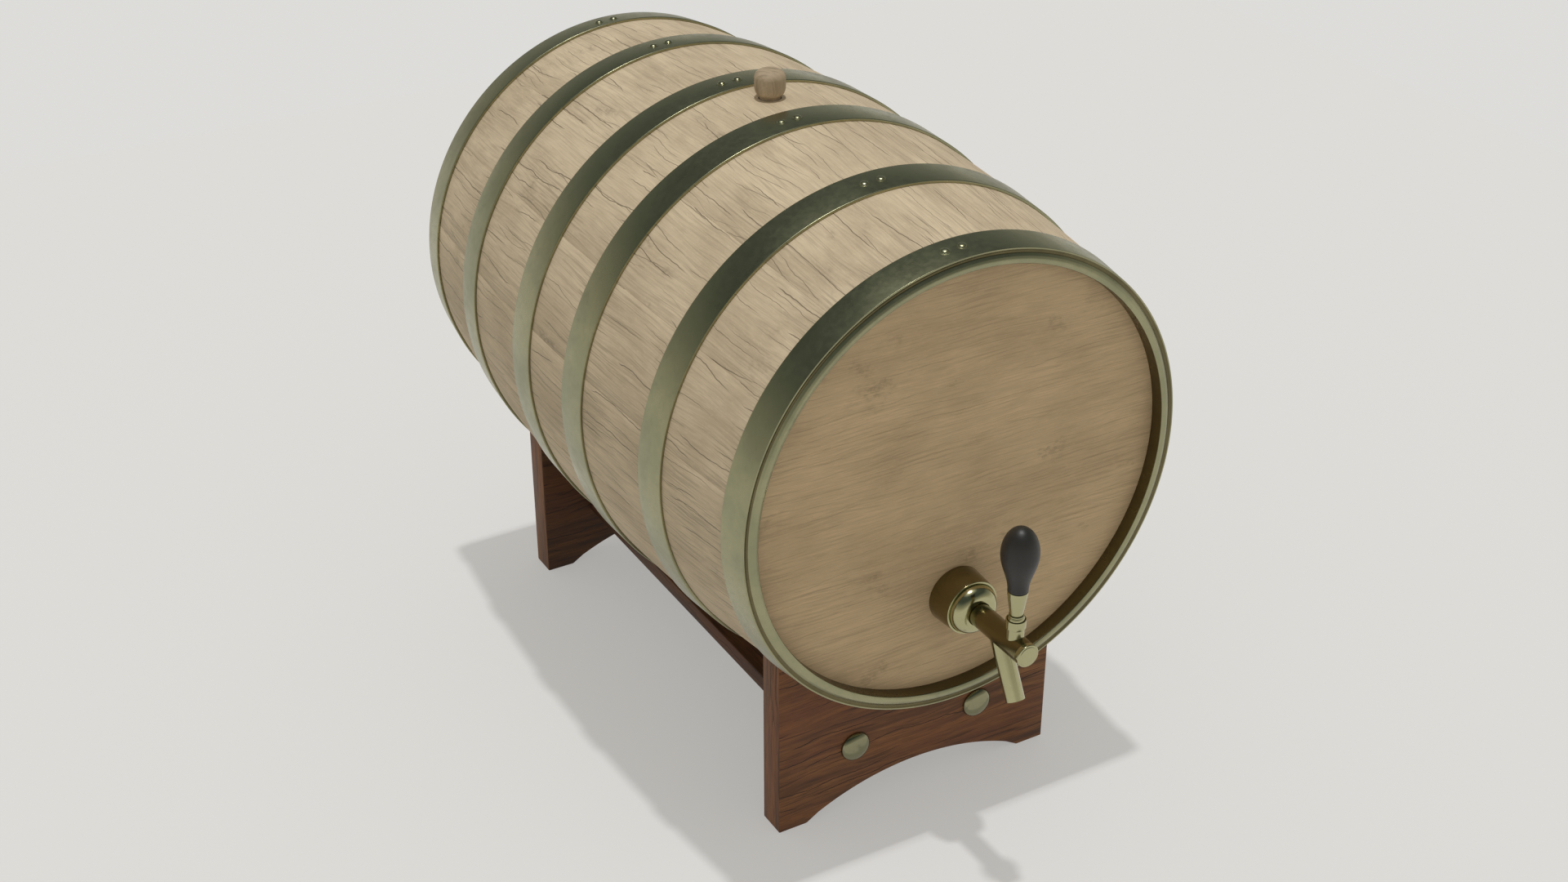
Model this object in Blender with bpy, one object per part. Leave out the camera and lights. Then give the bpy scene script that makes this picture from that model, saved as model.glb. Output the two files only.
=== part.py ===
"""Twenty litre oak barrel with a lever tap, lying on a stand of two cradle boards.

Metres, +Z up. The barrel's axis runs along Y, and the front head, with the tap, faces -Y.
The origin is on the floor, under the middle of the whole length, tap included.
Run with: blender --background --python part.py
"""

import math

import bmesh
import bpy

# Clearances
GAP = 0.0003  # between pieces that touch or are cut to each other
BALL_GAP = 0.00035  # round the lever's ball in its seat
HEAD_GAP = 0.001  # between a head's rim and the staves, beside the groove
WASHER_GAP = 0.0007  # round the valve washer in its chamber
SHAFT_GAP = 0.0012  # round the valve shaft in its seat, for the wine to pass
SLOT_PLAY = 0.0007  # of the lever's fingertip along the shaft's slot
OVERCUT = 0.001  # of a cutting tool past the face it cuts

# Barrel
FLOOR_CLEARANCE = 0.0808  # from the floor up to the lowest hoop
STAVE_LENGTH = 0.4458
BILGE_RADIUS = 0.1603  # outside of the wood at the middle
CHIME_RADIUS = 0.1453  # outside of the wood at the ends
STAVE_COUNT = 16
STAVE_THICKNESS = 0.014
CHIME_THICKNESS = 0.0058  # of the staves past the heads
HEAD_THICKNESS = 0.014
HEAD_RECESS = 0.0069  # from the staves' ends in to the head's face
HEAD_BOARD_WIDTH = 0.0952  # of a head's middle board
CROZE_DEPTH = 0.0037  # groove that holds the head's bevelled rim
CROZE_WIDTH = 0.009
HOWEL_WIDTH = 0.0135  # slope from behind the head to the staves' full thickness

# Hoops
HOOP_THICKNESS = 0.0015
BILGE_HOOP_PLACE = 0.0370  # from the middle of the barrel to the middle of the hoop
BILGE_HOOP_WIDTH = 0.0248
QUARTER_HOOP_WIDTH = 0.0233
HEAD_HOOP_WIDTH = 0.0197
LIP_RISE = 0.0029  # of the head hoop's rolled lip past the staves' ends
LIP_GROOVE = 0.0007
RIVET_RADIUS = 0.0033
RIVET_DOME_RADIUS = 0.0022
RIVET_HEIGHT = 0.0015
RIVET_SHANK_RADIUS = 0.0012
RIVET_PLACES = (-0.0041, -0.0152)  # round the hoop from its top

# Bung
BUNG_HOLE_RADIUS = 0.0070
BUNG_RADIUS = 0.00975
BUNG_HEIGHT = 0.0175  # above the wood
BUNG_PLACE = 0.003  # behind the middle of the barrel
BUNG_DEPTH = 0.012  # below the wood's surface
BUNG_TAPER = 0.0012
BUNG_SWELL = 0.0075  # height over which it swells to its full width
BUNG_EDGE = 0.0045  # rounding of its top edge

# Stand
BOARD_THICKNESS = 0.0196
BOARD_TO_HEAD_HOOP = 0.0228
BOARD_TO_QUARTER_HOOP = 0.0184
BOARD_HALF_WIDTH = 0.0994
FOOT_WIDTH = 0.0198
FOOT_BEVEL = (0.0085, 0.0052)  # across and up, beside each foot
ARCH_HEIGHT = 0.0207
RAIL_WIDTH = 0.0357
RAIL_HEIGHT = 0.0112
BOLT_PLACE = (0.0452, 0.0472)  # out from the middle, and up from the floor
BOLT_HEAD_RADIUS = 0.0101
BOLT_HEAD_HEIGHT = 0.0046
BOLT_RADIUS = 0.0030
BOLT_BITE = 0.024  # length of a bolt in its rail

# Tap; lengths along it are counted forwards from the head's face
TAP_DROP = 0.0764  # below the barrel's axis
SHANK_RADIUS = 0.0090
SHANK_BORE = 0.0027
BELL_RADII = (0.0185, 0.0174)
BELL_LENGTH = 0.018
BELL_EDGE = 0.0004
SHOULDER_STEP = 0.0016
SHOULDER_LENGTH = 0.0075
SOCKET_DEPTH = 0.0095  # of the tube in the bell
SOCKET_WALL = 0.0009
TUBE_RADIUS = 0.0072
TUBE_END = 0.0705
TUBE_WALL = 0.0022
CHAMBER_WALL = 0.0013
CHAMBER_LENGTH = 0.015
SEAT_BORE = 0.0042
SEAT_LENGTH = 0.002
CAP_LENGTH = 0.0032
CAP_PLUG_LENGTH = 0.0021
CAP_BEVEL = 0.0006
CAP_RIM = 0.0013  # width of the step round its face
CAP_STEP = 0.0002
SPOUT_PLACE = 0.0442
SPOUT_ANGLE = math.radians(29)  # forwards from straight down
SPOUT_LENGTH = 0.0417
SPOUT_RADII = (0.0061, 0.0058)
SPOUT_BORE = 0.0027
NECK_RADIUS = 0.00515
NECK_WALL = 0.0006
LEVER_PLACE = 0.0603
PIVOT_HEIGHT = 0.0175  # above the tap's axis
BONNET_WALL = 0.0005
BONNET_FLOOR = 0.0004
BONNET_RIM = 0.0006  # above the pivot
BONNET_OPENING = 0.0029
BALL_RADIUS = 0.0051
BALL_SHOULDER = 0.0026  # height where the ball turns into the lever's straight hub
BALL_TOP = 0.0035
FINGER_LEAN = 0.25  # half of the lever's throw, in radians
FINGER_RADIUS = 0.0010
FINGER_TIP_RADIUS = 0.0016
STUD_RADIUS = 0.0025
STUD_BITE = 0.009  # length of the stud in the grip
FERRULE_RADII = (0.0040, 0.0062)
FERRULE_HEIGHT = 0.0160
GRIP_BASE_RADIUS = 0.0059
GRIP_RADIUS = 0.01115
GRIP_HEIGHT = 0.0413
GRIP_WIDEST = 0.0245  # above the grip's lower end
SHAFT_END_WALL = 0.0012
WASHER_THICKNESS = 0.0030
WASHER_HUB = 0.0019
KEEPER_RADIUS = 0.0040
KEEPER_THICKNESS = 0.0015
NUT_WALL = 0.0070
NUT_THICKNESS = 0.008
GASKET_WALL = 0.0060
GASKET_THICKNESS = 0.002
SHANK_SPARE = 0.001  # of the shank's thread past its nut

# Facets
FACETS_PER_STAVE = 3
BARREL_SIDES = FACETS_PER_STAVE * STAVE_COUNT
TAP_SIDES = 24
SMALL_SIDES = 16
HOLE_SIDES = 12
TINY_SIDES = 8

# Sizes that follow from those above
AXIS_HEIGHT = FLOOR_CLEARANCE + HOOP_THICKNESS + GAP + BILGE_RADIUS
STAVE_END = STAVE_LENGTH / 2
HEAD_FACE = STAVE_END - HEAD_RECESS
HEAD_MIDDLE = HEAD_FACE - HEAD_THICKNESS / 2
CHIME_INSIDE = CHIME_RADIUS - CHIME_THICKNESS
LIP_END = STAVE_END + LIP_RISE
BOARD_REACH = STAVE_END - HEAD_HOOP_WIDTH - BOARD_TO_HEAD_HOOP
QUARTER_HOOP_PLACE = BOARD_REACH - BOARD_THICKNESS - BOARD_TO_QUARTER_HOOP - QUARTER_HOOP_WIDTH / 2
QUARTER_HOOP = (QUARTER_HOOP_PLACE + QUARTER_HOOP_WIDTH / 2, QUARTER_HOOP_PLACE - QUARTER_HOOP_WIDTH / 2)
BILGE_HOOP = (BILGE_HOOP_PLACE + BILGE_HOOP_WIDTH / 2, BILGE_HOOP_PLACE - BILGE_HOOP_WIDTH / 2)
TUBE_BORE = TUBE_RADIUS - TUBE_WALL
CHAMBER_BORE = TUBE_RADIUS - CHAMBER_WALL
TUBE_START = BELL_LENGTH + SHOULDER_LENGTH - SOCKET_DEPTH
SEAT_PLACE = TUBE_START + CHAMBER_LENGTH
SHAFT_RADIUS = SEAT_BORE - SHAFT_GAP
WASHER_RADIUS = CHAMBER_BORE - WASHER_GAP
BALL_SEAT = BALL_RADIUS + BALL_GAP
BONNET_DEPTH = math.sqrt(BALL_SEAT**2 - BONNET_OPENING**2) + BONNET_FLOOR
STUD_TOP = BALL_TOP + FERRULE_HEIGHT + STUD_BITE
TAP_LENGTH = TUBE_END + GAP + CAP_LENGTH
BARREL_MIDDLE = (HEAD_FACE + TAP_LENGTH - LIP_END) / 2
SHANK_LENGTH = HEAD_THICKNESS + GASKET_THICKNESS + NUT_THICKNESS + 3 * GAP + SHANK_SPARE


def clear_scene():
    for thing in list(bpy.data.objects):
        bpy.data.objects.remove(thing)


def material(name, colour, roughness, metallic=0.0):
    made = bpy.data.materials.new(name)
    made.use_nodes = True
    shader = made.node_tree.nodes["Principled BSDF"]
    shader.inputs["Base Color"].default_value = (*colour, 1.0)
    shader.inputs["Roughness"].default_value = roughness
    shader.inputs["Metallic"].default_value = metallic
    return made


def empty(name, place, parent=None):
    made = bpy.data.objects.new(name, None)
    bpy.context.collection.objects.link(made)
    made.parent = parent
    made.location = place
    return made


def piece(name, shape, look, parent, place=(0, 0, 0), turn=(0, 0, 0)):
    """An object from a bmesh, its faces turned outwards and its round faces shaded smooth."""
    bmesh.ops.recalc_face_normals(shape, faces=shape.faces)
    mesh = bpy.data.meshes.new(name)
    shape.to_mesh(mesh)
    shape.free()
    mesh.shade_smooth()
    mesh.set_sharp_from_angle(angle=math.radians(40))
    made = bpy.data.objects.new(name, mesh)
    bpy.context.collection.objects.link(made)
    made.parent = parent
    made.location = place
    made.rotation_euler = turn
    if look:
        mesh.materials.append(look)
    return made


def combine(target, tool, operation="DIFFERENCE"):
    """Cut a hidden tool from the target, or join it on."""
    tool.hide_render = True
    tool.display_type = "WIRE"
    boolean = target.modifiers.new(tool.name, "BOOLEAN")
    boolean.operation = operation
    boolean.object = tool


def turned(outline, sides, axis="Z"):
    """A shape turned from (radius, height) points: a ring, or solid if its ends are on the axis."""
    shape = bmesh.new()
    rings = []
    for radius, height in outline:
        ring = []
        for step in range(sides if radius else 1):
            angle = math.tau * (step + 0.5) / sides
            across = radius * math.sin(angle)
            up = radius * math.cos(angle)
            ring.append(shape.verts.new((across, height, up) if axis == "Y" else (across, up, height)))
        rings.append(ring)
    pairs = list(zip(rings, rings[1:]))
    if outline[0][0]:
        pairs.append((rings[-1], rings[0]))
    for low, high in pairs:
        for step in range(sides):
            after = step + 1
            edge = (low[step % len(low)], low[after % len(low)])
            other = (high[after % len(high)], high[step % len(high)])
            shape.faces.new(dict.fromkeys(edge + other))
    return shape


def rod(radius, start, end, sides=SMALL_SIDES, axis="Z"):
    return turned([(0, start), (radius, start), (radius, end), (0, end)], sides, axis)


def prism(outline, axis, start, end):
    """A solid with the same flat outline at both ends of the axis, Y or Z."""
    shape = bmesh.new()
    place = "XYZ".index(axis)
    ends = []
    for along in (start, end):
        points = [list(point) for point in outline]
        for point in points:
            point.insert(place, along)
        ends.append([shape.verts.new(point) for point in points])
    for face in ends:
        shape.faces.new(face)
    count = len(outline)
    for i in range(count):
        after = (i + 1) % count
        shape.faces.new((ends[0][i], ends[0][after], ends[1][after], ends[1][i]))
    return shape


def box(low, high):
    outline = [(low[0], low[1]), (high[0], low[1]), (high[0], high[1]), (low[0], high[1])]
    return prism(outline, "Z", low[2], high[2])


def ellipse(middle, across, along, start, end, steps):
    """(radius, height) points on an ellipse; angles are degrees from the widest point up."""
    points = []
    for step in range(steps + 1):
        angle = math.radians(start + (end - start) * step / steps)
        points.append((middle[0] + across * math.cos(angle), middle[1] + along * math.sin(angle)))
    return points


def wood_radius(place):
    """Outside of the staves at a distance from the barrel's middle."""
    return BILGE_RADIUS - (BILGE_RADIUS - CHIME_RADIUS) * (place / STAVE_END) ** 2


def stave_sections():
    """(place, outer radius, inner radius) along a stave; it bends at the edges of the hoops round it."""
    croze_front = HEAD_MIDDLE + CROZE_WIDTH / 2
    croze_back = HEAD_MIDDLE - CROZE_WIDTH / 2
    head_back = HEAD_MIDDLE - HEAD_THICKNESS / 2 - GAP
    howel_end = head_back - HOWEL_WIDTH
    half = [
        (STAVE_END, CHIME_INSIDE),
        (croze_front, CHIME_INSIDE),
        (HEAD_MIDDLE, CHIME_INSIDE + CROZE_DEPTH),
        (croze_back, CHIME_INSIDE),
        (head_back, CHIME_INSIDE),
    ]
    for place in sorted((howel_end, *QUARTER_HOOP, *BILGE_HOOP), reverse=True):
        half.append((place, wood_radius(place) - STAVE_THICKNESS))
    middle = [(0.0, BILGE_RADIUS - STAVE_THICKNESS)]
    mirrored = [(-place, inner) for place, inner in reversed(half)]
    return [(place, wood_radius(place), inner) for place, inner in half + middle + mirrored]


def stave(name, look, parent, number):
    """One stave, from its own sections: round outside and inside, with flat joints at its sides."""
    shape = bmesh.new()
    middle = math.tau * number / STAVE_COUNT
    half = math.pi / STAVE_COUNT
    loops = []
    for place, outer, inner in stave_sections():
        loop = []
        for radius, way in ((outer, 1), (inner, -1)):
            edge = half - math.asin(GAP / 2 / radius)
            shares = [2 * i / FACETS_PER_STAVE - 1 for i in range(1, FACETS_PER_STAVE)]
            angles = [-edge, *(half * share for share in shares), edge]
            for angle in angles[::way]:
                across = radius * math.sin(middle + angle)
                up = radius * math.cos(middle + angle)
                loop.append(shape.verts.new((across, place, up)))
        loops.append(loop)
    for low, high in zip(loops, loops[1:]):
        for i in range(len(low)):
            after = (i + 1) % len(low)
            shape.faces.new((low[i], low[after], high[after], high[i]))
    for loop in (loops[0], loops[-1]):
        for i in range(FACETS_PER_STAVE):
            shape.faces.new((loop[i], loop[i + 1], loop[-2 - i], loop[-1 - i]))
    return piece(name, shape, look, parent)


def staves(look, parent):
    made = []
    for number in range(STAVE_COUNT):
        name = "bung_stave" if number == 0 else f"stave_{number:02d}"
        made.append(stave(name, look, parent, number))
    hole = rod(BUNG_HOLE_RADIUS, BILGE_RADIUS - 2 * STAVE_THICKNESS, BILGE_RADIUS + STAVE_THICKNESS)
    combine(made[0], piece("bung_hole_tool", hole, None, parent, (0, BUNG_PLACE, 0)))


def heads(look, parent):
    """Each head is three boards edge to edge, cut from one disc whose bevelled rim sits in the groove."""
    face_radius = CHIME_INSIDE - HEAD_GAP
    rim_radius = CHIME_INSIDE + CROZE_DEPTH - 2 * GAP
    reach = CHIME_RADIUS
    half_board = HEAD_BOARD_WIDTH / 2
    slots = {
        "top": (half_board + GAP / 2, reach),
        "middle": (-half_board + GAP / 2, half_board - GAP / 2),
        "bottom": (-reach, -half_board - GAP / 2),
    }
    for end, side in (("front", -1), ("rear", 1)):
        middle = side * HEAD_MIDDLE
        disc = [
            (0, middle - HEAD_THICKNESS / 2),
            (face_radius, middle - HEAD_THICKNESS / 2),
            (face_radius, middle - CROZE_WIDTH / 2),
            (rim_radius, middle),
            (face_radius, middle + CROZE_WIDTH / 2),
            (face_radius, middle + HEAD_THICKNESS / 2),
            (0, middle + HEAD_THICKNESS / 2),
        ]
        for place, (low, high) in slots.items():
            name = f"{end}_head_{place}_board"
            board = piece(name, turned(disc, BARREL_SIDES, "Y"), look, parent)
            keep = box(
                (-reach, middle - HEAD_THICKNESS, low),
                (reach, middle + HEAD_THICKNESS, high),
            )
            combine(board, piece(f"{name}_tool", keep, None, parent), "INTERSECT")
            if name == "front_head_bottom_board":
                start = middle - HEAD_THICKNESS
                hole = rod(SHANK_RADIUS + GAP, start, middle + HEAD_THICKNESS, TAP_SIDES, "Y")
                combine(board, piece("tap_hole_tool", hole, None, parent, (0, 0, -TAP_DROP)))


def band_outline(start, end):
    inner = [(wood_radius(place) + GAP, place) for place in (start, end)]
    outer = [(radius + HOOP_THICKNESS, place) for radius, place in reversed(inner)]
    return inner + outer


def head_hoop_outline(side):
    """Band over the staves' ends, with a rolled lip and a sleeve that turns in to the head's face."""
    start = STAVE_END - HEAD_HOOP_WIDTH
    band = band_outline(start, STAVE_END)
    lip_outside = band[2][0] - LIP_GROOVE
    sleeve_outside = CHIME_INSIDE - GAP
    lip_inside = sleeve_outside - HOOP_THICKNESS
    lip_middle = (lip_outside + lip_inside) / 2
    lip = ellipse((lip_middle, STAVE_END + GAP), lip_outside - lip_middle, LIP_RISE - GAP, 0, 180, 6)
    outline = [
        band[0],
        band[3],
        band[2],
        *lip,
        (lip_inside, HEAD_FACE + GAP),
        (sleeve_outside, HEAD_FACE + GAP),
        (sleeve_outside, STAVE_END + GAP),
        (CHIME_RADIUS + GAP, STAVE_END + GAP),
    ]
    return [(radius, side * place) for radius, place in outline]


def hoops(look, parent):
    """Six hoops, each with two domed rivets near its top."""
    outlines = {}
    for end, side in (("front", -1), ("rear", 1)):
        outlines[f"{end}_head_hoop"] = (head_hoop_outline(side), side * (STAVE_END - HEAD_HOOP_WIDTH / 2))
        for kind, edges in (("quarter", QUARTER_HOOP), ("bilge", BILGE_HOOP)):
            ring = band_outline(side * edges[0], side * edges[1])
            outlines[f"{end}_{kind}_hoop"] = (ring, side * sum(edges) / 2)
    for name, (outline, place) in outlines.items():
        hoop = piece(name, turned(outline, BARREL_SIDES, "Y"), look, parent)
        for number, around in enumerate(RIVET_PLACES, 1):
            rivet(f"{name}_rivet_{number}", hoop, look, parent, place, around)


def rivet(name, hoop, look, parent, place, around):
    """A domed rivet standing on a hoop, its shank through the band; it leans as the hoop does there."""
    surface = wood_radius(place) + GAP + HOOP_THICKNESS
    lean = math.atan(2 * (BILGE_RADIUS - CHIME_RADIUS) * place / STAVE_END**2)
    roll = around / surface
    spot = (surface * math.sin(roll), place, surface * math.cos(roll))
    turn = (-lean, roll, 0)
    skirt = RIVET_HEIGHT / 3
    outline = [
        (0, GAP - HOOP_THICKNESS),
        (RIVET_SHANK_RADIUS, GAP - HOOP_THICKNESS),
        (RIVET_SHANK_RADIUS, GAP),
        (RIVET_RADIUS, GAP),
        (RIVET_RADIUS, skirt),
        *ellipse((0, skirt), RIVET_DOME_RADIUS, RIVET_HEIGHT - skirt, 15, 55, 2),
        (0, RIVET_HEIGHT),
    ]
    piece(name, turned(outline, TINY_SIDES), look, parent, spot, turn)
    hole = rod(RIVET_SHANK_RADIUS + GAP, -3 * HOOP_THICKNESS, 3 * HOOP_THICKNESS, TINY_SIDES)
    combine(hoop, piece(f"{name}_tool", hole, None, parent, spot, turn))


def bung(look, parent):
    """A mushroom-shaped wooden bung, whose taper sits in the top stave's hole."""
    neck = BUNG_HOLE_RADIUS - GAP
    outline = [
        (0, -BUNG_DEPTH),
        (neck - BUNG_TAPER, -BUNG_DEPTH),
        (neck, 0),
        *ellipse((neck, BUNG_SWELL), BUNG_RADIUS - neck, BUNG_SWELL, -60, 0, 3),
        *ellipse((BUNG_RADIUS - BUNG_EDGE, BUNG_HEIGHT - BUNG_EDGE), BUNG_EDGE, BUNG_EDGE, 0, 75, 4),
        (0, BUNG_HEIGHT),
    ]
    piece("bung", turned(outline, SMALL_SIDES), look, parent, (0, BUNG_PLACE, BILGE_RADIUS))


def board_outline():
    """Outside of a cradle board: two feet, an arch between them, and straight sides up past the barrel."""
    inner_foot = BOARD_HALF_WIDTH - FOOT_WIDTH
    half_arch = inner_foot - FOOT_BEVEL[0]
    rise = ARCH_HEIGHT - FOOT_BEVEL[1]
    arch_radius = (half_arch**2 + rise**2) / (2 * rise)
    sweep = math.asin(half_arch / arch_radius)
    steps = 14
    arch = []
    for step in range(steps + 1):
        angle = sweep * (2 * step / steps - 1)
        arch.append((arch_radius * math.sin(angle), ARCH_HEIGHT - arch_radius * (1 - math.cos(angle))))
    left = [(-BOARD_HALF_WIDTH, AXIS_HEIGHT), (-BOARD_HALF_WIDTH, 0), (-inner_foot, 0)]
    right = [(-across, up) for across, up in reversed(left)]
    return left + arch + right


def stand(wood, brass, parent):
    """Two cradle boards joined by two rails, with a domed bolt through each board into each rail's end."""
    hollow = [(outer + GAP, place) for place, outer, _ in stave_sections()]
    hollow = [(0, hollow[0][1]), *hollow, (0, hollow[-1][1])]
    cradle = piece("cradle_tool", turned(hollow, BARREL_SIDES, "Y"), None, parent, (0, 0, AXIS_HEIGHT))
    inner_face = BOARD_REACH - BOARD_THICKNESS
    boards = {}
    for end, side in (("front", -1), ("rear", 1)):
        shape = prism(board_outline(), "Y", side * inner_face, side * BOARD_REACH)
        boards[end] = piece(f"{end}_cradle_board", shape, wood, parent)
        combine(boards[end], cradle)
    for hand, way in (("left", -1), ("right", 1)):
        middle, height = way * BOLT_PLACE[0], BOLT_PLACE[1]
        shape = box(
            (middle - RAIL_WIDTH / 2, GAP - inner_face, height - RAIL_HEIGHT / 2),
            (middle + RAIL_WIDTH / 2, inner_face - GAP, height + RAIL_HEIGHT / 2),
        )
        rail = piece(f"{hand}_rail", shape, wood, parent)
        for end, side in (("front", -1), ("rear", 1)):
            spot = (middle, side * BOARD_REACH, height)
            bolt(f"{end}_{hand}_bolt", brass, parent, spot, side, (boards[end], rail))


def bolt(name, look, parent, spot, side, drilled):
    """A dome-headed bolt whose head is on the side given, and the hole for it."""
    tip = -BOARD_THICKNESS - BOLT_BITE
    outline = [
        (0, tip),
        (BOLT_RADIUS, tip),
        (BOLT_RADIUS, GAP),
        (BOLT_HEAD_RADIUS, GAP),
        *ellipse((0, GAP), BOLT_HEAD_RADIUS, BOLT_HEAD_HEIGHT - GAP, 15, 75, 3),
        (0, BOLT_HEAD_HEIGHT),
    ]
    outline = [(radius, side * place) for radius, place in outline]
    piece(name, turned(outline, SMALL_SIDES, "Y"), look, parent, spot)
    hole = rod(BOLT_RADIUS + GAP, side * BOLT_HEAD_HEIGHT, side * (tip - GAP), HOLE_SIDES, "Y")
    tool = piece(f"{name}_tool", hole, None, parent, spot)
    for target in drilled:
        combine(target, tool)


def forwards(outline):
    """(radius, distance forwards from the head) points as heights along +Y."""
    return [(radius, -distance) for radius, distance in outline]


def tap_flange(look, parent):
    """The bell against the head, its rounded shoulder, and the shank that passes through the head."""
    socket = TUBE_RADIUS + GAP
    nose = socket + SOCKET_WALL
    shoulder_radius = BELL_RADII[1] - SHOULDER_STEP
    shoulder_end = BELL_LENGTH + SHOULDER_LENGTH
    shoulder = ellipse((nose, BELL_LENGTH), shoulder_radius - nose, SHOULDER_LENGTH, 5, 90, 6)
    outline = [
        (SHANK_BORE, -SHANK_LENGTH),
        (SHANK_RADIUS, -SHANK_LENGTH),
        (SHANK_RADIUS, GAP),
        (BELL_RADII[0], GAP),
        (BELL_RADII[1], BELL_LENGTH - BELL_EDGE),
        (BELL_RADII[1] - BELL_EDGE, BELL_LENGTH),
        *shoulder,
        (socket, shoulder_end),
        (socket, TUBE_START - GAP),
        (SHANK_BORE, TUBE_START - GAP),
    ]
    piece("tap_flange", turned(forwards(outline), TAP_SIDES, "Y"), look, parent)


def tap_body(look, parent):
    """One casting: tube, spout and neck, with the bores for the shaft, the beverage and the lever."""
    body = piece("tap_body", rod(TUBE_RADIUS, -TUBE_START, -TUBE_END, TAP_SIDES, "Y"), look, parent)
    spout_spot = (0, -SPOUT_PLACE, 0)
    spout_turn = (-SPOUT_ANGLE, 0, 0)
    cone = [(0, 0), (SPOUT_RADII[0], 0), (SPOUT_RADII[1], -SPOUT_LENGTH), (0, -SPOUT_LENGTH)]
    spout = piece("spout_tool", turned(cone, SMALL_SIDES), None, parent, spout_spot, spout_turn)
    combine(body, spout, "UNION")
    neck_top = PIVOT_HEIGHT - BONNET_DEPTH - GAP
    neck_spot = (0, -LEVER_PLACE, 0)
    combine(body, piece("neck_tool", rod(NECK_RADIUS, 0, neck_top), None, parent, neck_spot), "UNION")
    seat_end = SEAT_PLACE + SEAT_LENGTH
    bore = [
        (0, TUBE_START - OVERCUT),
        (CHAMBER_BORE, TUBE_START - OVERCUT),
        (CHAMBER_BORE, SEAT_PLACE),
        (SEAT_BORE, SEAT_PLACE),
        (SEAT_BORE, seat_end),
        (TUBE_BORE, seat_end),
        (TUBE_BORE, TUBE_END + OVERCUT),
        (0, TUBE_END + OVERCUT),
    ]
    combine(body, piece("bore_tool", turned(forwards(bore), SMALL_SIDES, "Y"), None, parent))
    spout_bore = rod(SPOUT_BORE, -SPOUT_LENGTH - OVERCUT, 0, HOLE_SIDES)
    combine(body, piece("spout_bore_tool", spout_bore, None, parent, spout_spot, spout_turn))
    neck_bore = rod(NECK_RADIUS - NECK_WALL, 0, neck_top + OVERCUT)
    combine(body, piece("neck_bore_tool", neck_bore, None, parent, neck_spot))


def tap_cap(look, parent):
    """The screwed cap that closes the tube's front end."""
    face = TUBE_END + GAP
    outline = [
        (0, TUBE_END - CAP_PLUG_LENGTH),
        (TUBE_BORE - GAP, TUBE_END - CAP_PLUG_LENGTH),
        (TUBE_BORE - GAP, face),
        (TUBE_RADIUS, face),
        (TUBE_RADIUS, TAP_LENGTH - CAP_STEP - CAP_BEVEL),
        (TUBE_RADIUS - CAP_BEVEL, TAP_LENGTH - CAP_STEP),
        (TUBE_RADIUS - CAP_RIM, TAP_LENGTH - CAP_STEP),
        (TUBE_RADIUS - CAP_RIM, TAP_LENGTH),
        (0, TAP_LENGTH),
    ]
    piece("tap_end_cap", turned(forwards(outline), TAP_SIDES, "Y"), look, parent)


def bonnet(look, parent):
    """The collar on the neck, with the round seat for the lever's ball."""
    low = math.degrees(math.acos(BONNET_OPENING / BALL_SEAT))
    high = math.degrees(math.asin(BONNET_RIM / BALL_SEAT))
    outline = [
        (BONNET_OPENING, -BONNET_DEPTH),
        (BALL_SEAT + BONNET_WALL, -BONNET_DEPTH),
        (BALL_SEAT + BONNET_WALL, BONNET_RIM),
        *ellipse((0, 0), BALL_SEAT, BALL_SEAT, high, -low, 5),
    ]
    piece("tap_bonnet", turned(outline, SMALL_SIDES), look, parent)


def lever(look, parent):
    """Ball, upright stud and leaning finger; its origin is the centre of the ball, which it tilts about."""
    high = math.degrees(math.asin(BALL_SHOULDER / BALL_RADIUS))
    ball = ellipse((0, 0), BALL_RADIUS, BALL_RADIUS, -72, high, 8)
    outline = [
        (0, -BALL_RADIUS),
        *ball,
        (ball[-1][0], BALL_TOP),
        (STUD_RADIUS, BALL_TOP),
        (STUD_RADIUS, STUD_TOP),
        (0, STUD_TOP),
    ]
    made = piece("tap_lever", turned(outline, SMALL_SIDES), look, parent)
    tip = -PIVOT_HEIGHT
    finger = [
        (0, tip - FINGER_TIP_RADIUS),
        *ellipse((0, tip), FINGER_TIP_RADIUS, FINGER_TIP_RADIUS, -36, 36, 2),
        (FINGER_RADIUS, tip + FINGER_TIP_RADIUS),
        (FINGER_RADIUS, -BALL_RADIUS / 2),
        (0, -BALL_RADIUS / 2),
    ]
    tool = piece("finger_tool", turned(finger, HOLE_SIDES), None, parent, turn=(-FINGER_LEAN, 0, 0))
    combine(made, tool, "UNION")


def ferrule(look, parent):
    low = BALL_TOP + GAP
    high = low + FERRULE_HEIGHT - GAP
    bore = STUD_RADIUS + GAP
    outline = [(bore, low), (FERRULE_RADII[0], low), (FERRULE_RADII[1], high), (bore, high)]
    piece("handle_ferrule", turned(outline, TAP_SIDES), look, parent)


def grip(look, parent):
    """A teardrop grip: it swells from the ferrule to its widest, then closes as a half ellipse."""
    low = BALL_TOP + FERRULE_HEIGHT + GAP
    bore = STUD_RADIUS + GAP
    steps = 7
    swell = []
    for step in range(steps):
        share = step / steps
        radius = GRIP_BASE_RADIUS + (GRIP_RADIUS - GRIP_BASE_RADIUS) * (1 - math.cos(math.pi * share)) / 2
        swell.append((radius, low + GRIP_WIDEST * share))
    crown = ellipse((0, low + GRIP_WIDEST), GRIP_RADIUS, GRIP_HEIGHT - GRIP_WIDEST, 0, 80, 6)
    outline = [
        (0, STUD_TOP + GAP),
        (bore, STUD_TOP + GAP),
        (bore, low),
        *swell,
        *crown,
        (0, low + GRIP_HEIGHT),
    ]
    piece("handle_grip", turned(outline, TAP_SIDES), look, parent)


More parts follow.
